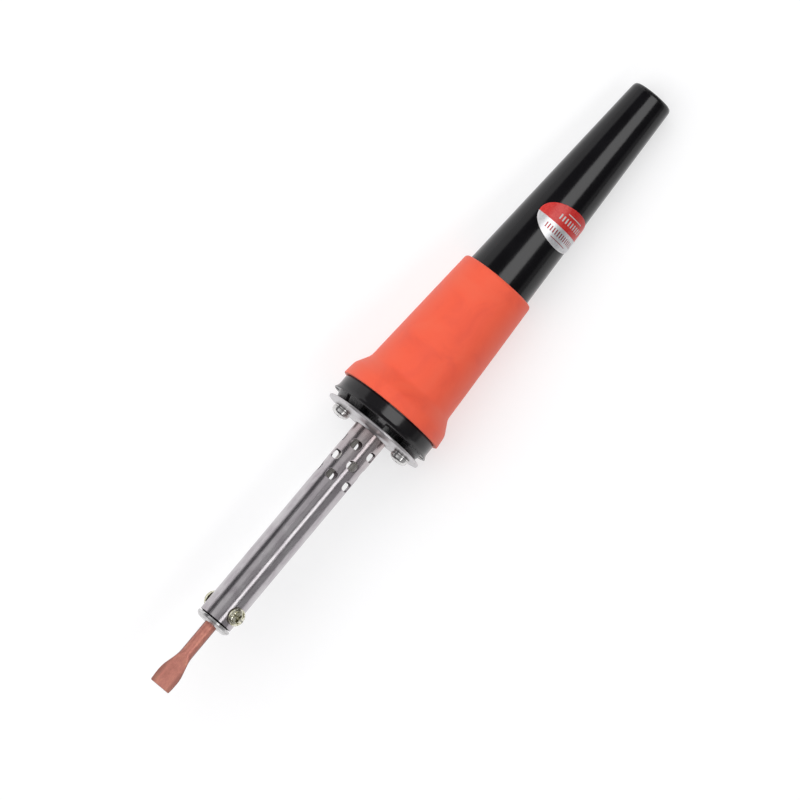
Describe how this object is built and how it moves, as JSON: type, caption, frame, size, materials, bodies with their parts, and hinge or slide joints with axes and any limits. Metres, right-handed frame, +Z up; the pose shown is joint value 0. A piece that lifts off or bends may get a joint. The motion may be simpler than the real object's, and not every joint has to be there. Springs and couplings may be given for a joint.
{
  "type": "soldering iron",
  "caption": "Hand soldering iron: spade copper bit in a vented steel barrel, round flange, tapered black handle with a flared orange grip sleeve.",
  "frame": {"origin": "on the bench surface, under the middle of the whole iron as it lies on its grip bell and the rear rim of its handle", "axes": "+X along the iron from the bit towards the cord end, +Z up from the bench; the tool axis is tipped 5.15 degrees, bit up"},
  "size_m": [0.225, 0.035, 0.0348],
  "materials": {
    "copper": "satin",
    "barrel_steel": "satin",
    "bush_steel": "satin",
    "yellow_zinc": "satin",
    "heater_steel": "matte",
    "mica": "satin",
    "nickel_wire": "satin",
    "porcelain": "gloss",
    "glass_sleeving": "matte",
    "plate_steel": "satin",
    "screw_steel": "gloss",
    "terminal_brass": "satin",
    "black_moulding": "gloss",
    "orange_silicone": "matte",
    "label_foil": "satin",
    "black_rubber": "matte"
  },
  "bodies": {
    "root": {"front_bush": "bush_steel", "barrel_tube": "barrel_steel", "heater_core_tube": "heater_steel", "heater_mica_inner": "mica", "heater_winding": "nickel_wire", "heater_mica_outer": "mica", "heater_end_disc": "porcelain", "heater_lead_left": "nickel_wire", "heater_lead_right": "nickel_wire", "lead_sleeve_left": "glass_sleeving", "lead_sleeve_right": "glass_sleeving", "mounting_flange": "plate_steel", "flange_screw_left": "screw_steel", "flange_screw_right": "screw_steel", "flange_washer_left": "screw_steel", "flange_washer_right": "screw_steel", "screw_insert_left": "terminal_brass", "screw_insert_right": "terminal_brass", "handle_shell": "black_moulding", "grip_sleeve": "orange_silicone", "rating_label": "label_foil", "terminal_block": "porcelain", "terminal_left": "terminal_brass", "terminal_right": "terminal_brass", "terminal_screw_left_front": "screw_steel", "terminal_screw_left_rear": "screw_steel", "terminal_screw_right_front": "screw_steel", "terminal_screw_right_rear": "screw_steel", "inlet_grommet": "black_rubber"},
    "bit": {"copper_bit": "copper"},
    "clamp_upper": {"clamp_screw_upper": "yellow_zinc"},
    "clamp_lower": {"clamp_screw_lower": "yellow_zinc"}
  },
  "joints": [
    {"name": "bit_slide", "type": "slide", "parent": "root", "child": "bit", "axis": [-0.996, 0, 0.0897], "range_m": [-0.008, 0.036]},
    {"name": "clamp_upper_travel", "type": "slide", "parent": "root", "child": "clamp_upper", "axis": [0.0645, -0.6947, 0.7164], "range_m": [0, 0.0025]},
    {"name": "clamp_lower_travel", "type": "slide", "parent": "root", "child": "clamp_lower", "axis": [-0.0645, 0.6947, -0.7164], "range_m": [0, 0.0025]}
  ]
}
